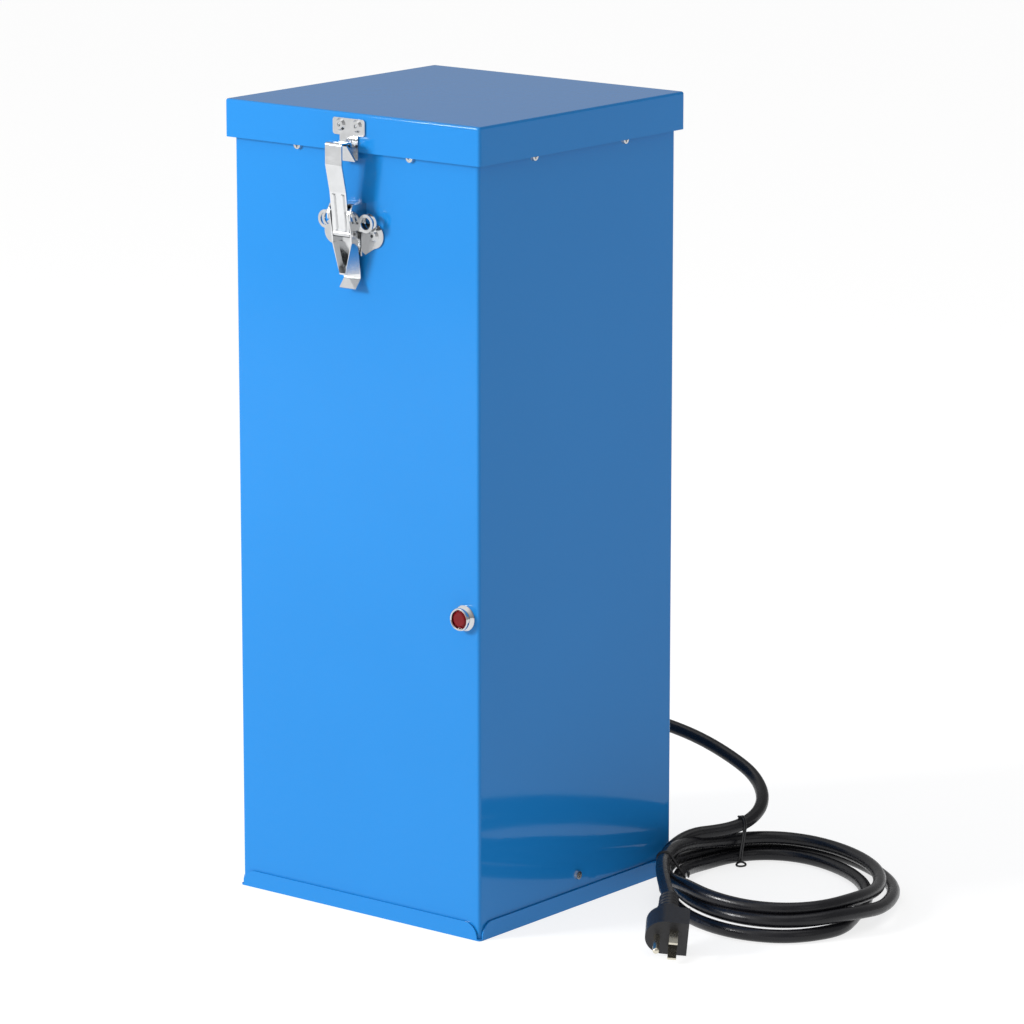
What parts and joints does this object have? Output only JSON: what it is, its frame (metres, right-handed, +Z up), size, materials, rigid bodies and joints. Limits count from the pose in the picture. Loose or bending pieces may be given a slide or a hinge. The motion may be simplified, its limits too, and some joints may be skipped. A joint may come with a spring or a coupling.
{
  "type": "welding rod oven",
  "caption": "Tall square sheet-metal storage oven for welding rods, with a hinged, latched, gasketed lid, an insulated liner, a pilot lamp and a coiled mains cord.",
  "frame": {"origin": "centre of the casing on the floor, under the base pan", "axes": "+Z up, the front face with the latch and the pilot lamp towards -Y, +X to the right as seen from the front"},
  "size_m": [0.4455, 0.3544, 0.598],
  "materials": {
    "blue_paint": "gloss powder coat, mid blue",
    "zinc_steel": "bright zinc plate",
    "galvanised": "mill-finish galvanised sheet",
    "mineral_wool": "matt mineral-wool board",
    "fibre_gasket": "matt woven fibre",
    "lamp_chrome": "polished",
    "lamp_red": "clear red, faceted",
    "lamp_case": "black moulded",
    "bulb_glass": "clear",
    "black_rubber": "black, satin",
    "lead_sleeve": "woven glass sleeve",
    "tie_black": "black twist tie",
    "plug_metal": "nickel-plated brass",
    "terminal_plastic": "moulded phenolic",
    "terminal_brass": "plain"
  },
  "bodies": {
    "case": {"base_pan": "blue_paint", "collar_frame": "galvanised", "collar_screws": "zinc_steel", "cord_coil": "black_rubber", "cord_lead": "black_rubber", "cord_tail": "black_rubber", "cord_ties": "tie_black", "fulcrum_pivots": "zinc_steel", "ground_pin": "plug_metal", "heater_leads": "lead_sleeve", "heater_left": "galvanised", "heater_right": "galvanised", "hinge_leaf_casing": "zinc_steel", "hinge_pin": "zinc_steel", "hinge_rivets": "zinc_steel", "inner_liner": "galvanised", "insulation_back": "mineral_wool", "insulation_floor": "mineral_wool", "insulation_front": "mineral_wool", "insulation_left": "mineral_wool", "insulation_right": "mineral_wool", "lamp_barrel": "lamp_case", "lamp_bezel": "lamp_chrome", "lamp_bulb": "bulb_glass", "lamp_lens": "lamp_red", "lamp_nut": "lamp_case", "latch_base": "zinc_steel", "latch_base_rivets": "zinc_steel", "locknut": "black_rubber", "outer_casing": "blue_paint", "plug_blades": "plug_metal", "plug_body": "black_rubber", "power_cord": "black_rubber", "side_screws": "zinc_steel", "strain_relief": "black_rubber", "support_bracket": "galvanised", "terminal_block": "terminal_plastic", "terminal_screws": "terminal_brass", "thermostat": "galvanised"},
    "lid": {"lid_shell": "blue_paint", "lid_tray": "galvanised", "lid_insulation": "mineral_wool", "lid_gasket": "fibre_gasket", "keeper": "zinc_steel", "keeper_rivets": "zinc_steel", "hinge_leaf_lid": "zinc_steel"},
    "lever": {"latch_lever": "zinc_steel", "arm_pin": "zinc_steel"},
    "arm": {"latch_arm": "zinc_steel"}
  },
  "joints": [
    {"name": "lid_hinge", "type": "hinge", "parent": "case", "child": "lid", "pos_m": [0, 0.1184, 0.5672], "axis": [-1, 0, 0], "range_deg": [0, 110]},
    {"name": "lever_pivot", "type": "hinge", "parent": "case", "child": "lever", "pos_m": [0, -0.1298, 0.5265], "axis": [-1, 0, 0], "range_deg": [0, 90]},
    {"name": "arm_pivot", "type": "hinge", "parent": "lever", "child": "arm", "pos_m": [0, -0.1274, 0.5115], "axis": [-1, 0, 0], "range_deg": [-75, 0]}
  ],
  "couplings": [
    {"joint": "arm_pivot", "follows": "lever_pivot", "ratio": -0.83}
  ]
}
